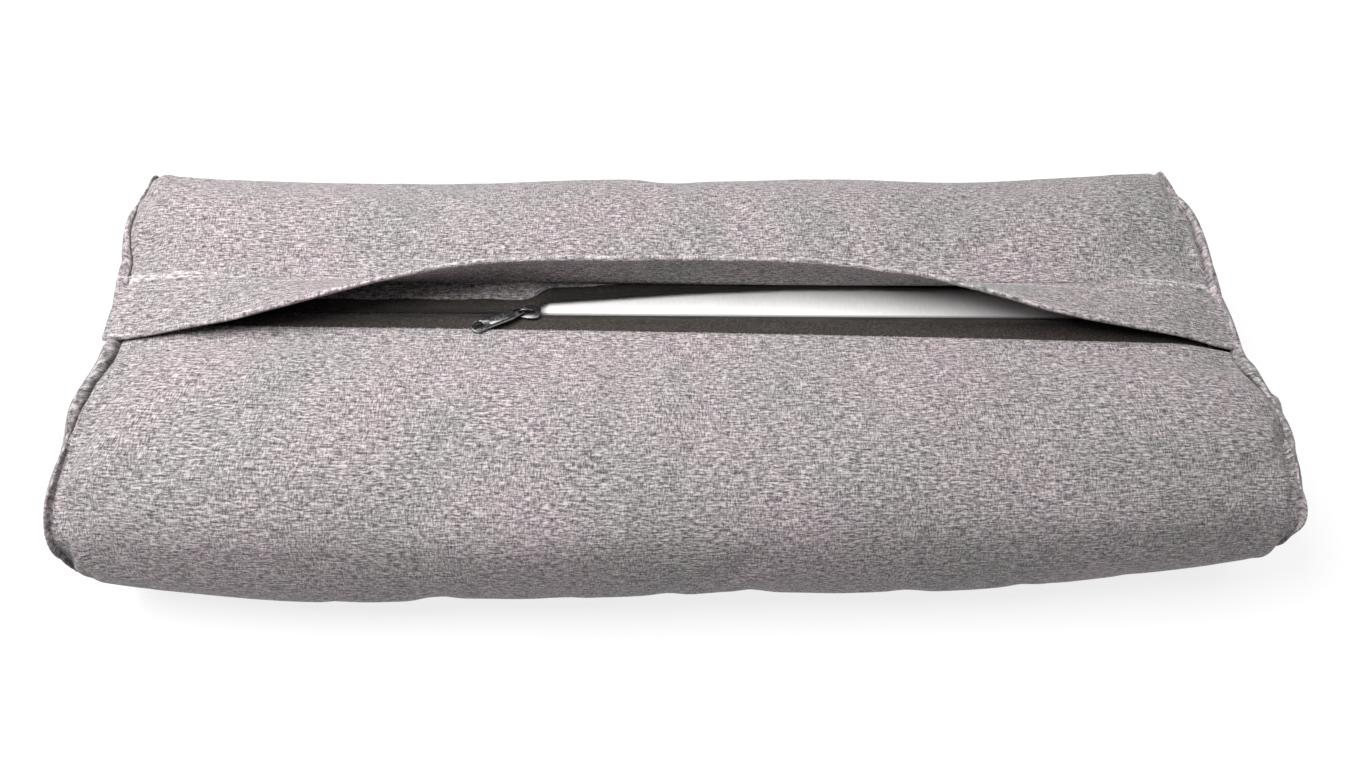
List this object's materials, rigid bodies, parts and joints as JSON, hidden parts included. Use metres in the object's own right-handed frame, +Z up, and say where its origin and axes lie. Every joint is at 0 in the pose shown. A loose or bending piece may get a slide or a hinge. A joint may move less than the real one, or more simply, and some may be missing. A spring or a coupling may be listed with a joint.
{
  "type": "bolster pillow",
  "caption": "Flat rectangular bolster pillow: a grey heather cloth cover with a part-open zip under a lifted flap, over a white inner pillow.",
  "frame": {"origin": "on the surface the pillow rests on, under the middle of its bounding box", "axes": "+X along the pillow, +Y to the back (the flap's sewn edge is behind its free edge), +Z up"},
  "size_m": [0.61, 0.248, 0.1279],
  "materials": {
    "heather_cloth": "matte melange plain weave",
    "zip_tape": "matte woven tape",
    "zip_coil": "satin nylon monofilament",
    "sewing_thread": "matte polyester thread",
    "slider_metal": "black paint, worn at the edges",
    "inner_cloth": "matte white cloth",
    "fibre_filling": "loose polyester fibre"
  },
  "bodies": {
    "cover": {"cover_wrap": "heather_cloth", "cover_end_left": "heather_cloth", "cover_end_right": "heather_cloth", "flap_left": "heather_cloth", "flap_right": "heather_cloth", "zip_tape_front": "zip_tape", "zip_coil_front": "zip_coil", "zip_tape_rear_closed": "zip_tape", "zip_coil_rear_closed": "zip_coil", "zip_tack_left": "sewing_thread", "zip_tack_right": "sewing_thread", "inner_case_wrap": "inner_cloth", "inner_case_end_left": "inner_cloth", "inner_case_end_right": "inner_cloth", "inner_fill": "fibre_filling"},
    "flap": {"flap_middle": "heather_cloth"},
    "rear_lip": {"zip_tape_rear_open": "zip_tape", "zip_coil_rear_open": "zip_coil"},
    "slider": {"slider_body": "slider_metal", "slider_bridge": "slider_metal"},
    "pull": {"pull_tab": "slider_metal"}
  },
  "joints": [
    {"name": "slider_slide", "type": "slide", "parent": "cover", "child": "slider", "axis": [1, 0, 0], "range_m": [-0.179, 0.345], "deforming": ["zip_coil_rear_closed"]},
    {"name": "pull_tab_lift", "type": "hinge", "parent": "slider", "child": "pull", "pos_m": [-0.0855, 0.0065, 0.0976], "axis": [-0.4384, 0.8988, 0], "range_deg": [0, 120]},
    {"name": "flap_swing", "type": "hinge", "parent": "cover", "child": "flap", "pos_m": [0, 0.0265, 0.0976], "axis": [1, 0, 0], "range_deg": [-75, 66], "deforming": ["flap_left", "flap_right"]},
    {"name": "rear_lip_close", "type": "slide", "parent": "cover", "child": "rear_lip", "axis": [0, -1, 0], "range_m": [-0.01, 0.019], "deforming": ["zip_tape_rear_open", "zip_coil_rear_open"]}
  ],
  "couplings": [
    {"joint": "rear_lip_close", "follows": "slider_slide", "ratio": 0.0536}
  ]
}
